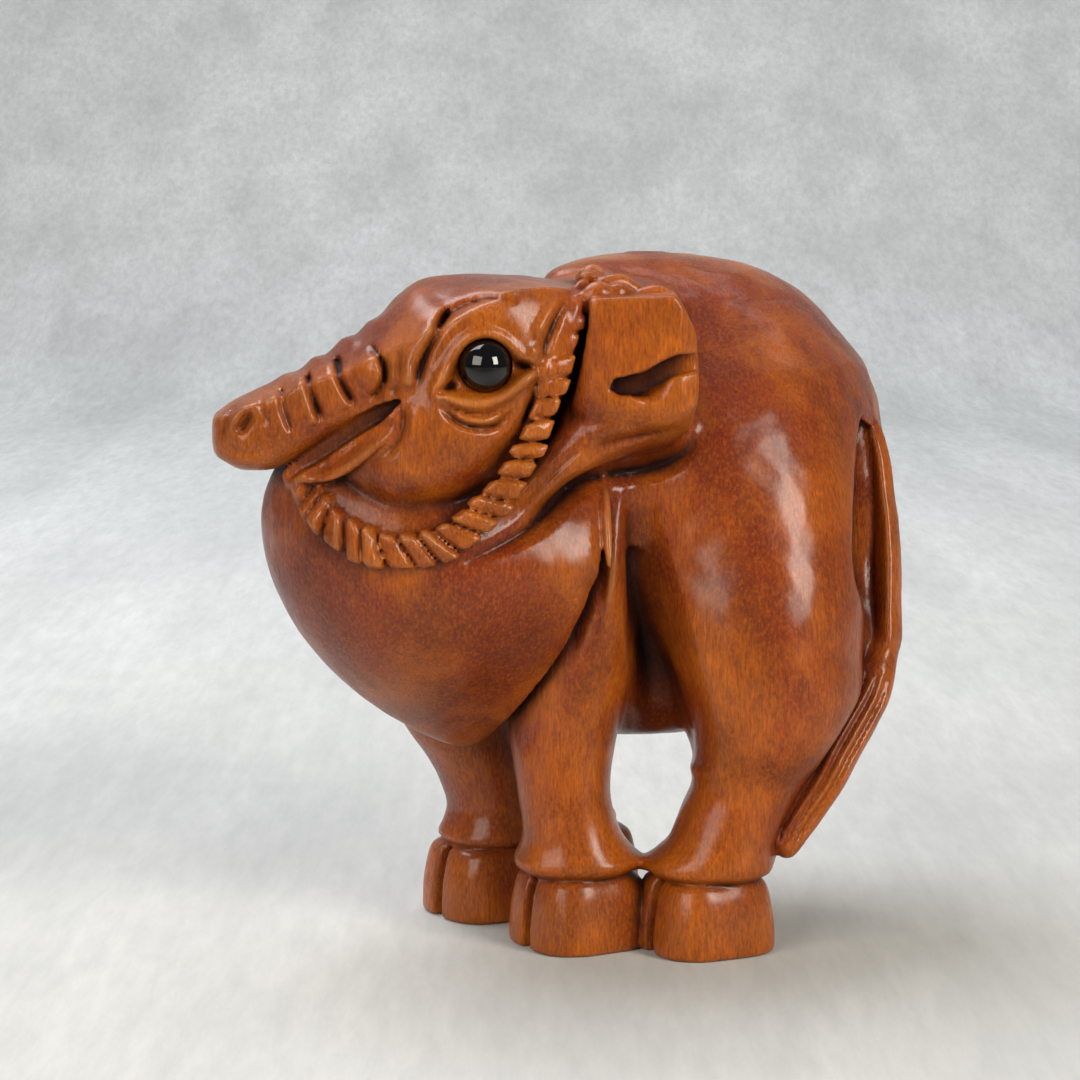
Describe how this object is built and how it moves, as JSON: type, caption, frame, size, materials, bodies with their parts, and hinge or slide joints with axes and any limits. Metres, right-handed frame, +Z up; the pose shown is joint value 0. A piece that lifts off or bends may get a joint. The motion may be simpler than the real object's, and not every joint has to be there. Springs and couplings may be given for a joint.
{
  "type": "ojime bead",
  "caption": "Ojime cord bead carved as a standing ox with its head turned aside, rope halter, inlaid eyes and a cord hole from back to belly.",
  "frame": {"origin": "on the ground under the middle of the bead, at the height of the soles", "axes": "+Z up along the cord hole, -X towards the muzzle, -Y towards the side that the head shows in the picture"},
  "size_m": [0.0214, 0.0162, 0.0215],
  "materials": {
    "stained_boxwood": "orange-brown stain, satin wax polish",
    "black_horn": "high polish"
  },
  "bodies": {
    "root": {"carved_body": "stained_boxwood", "left_eye": "black_horn", "right_eye": "black_horn"}
  },
  "joints": []
}
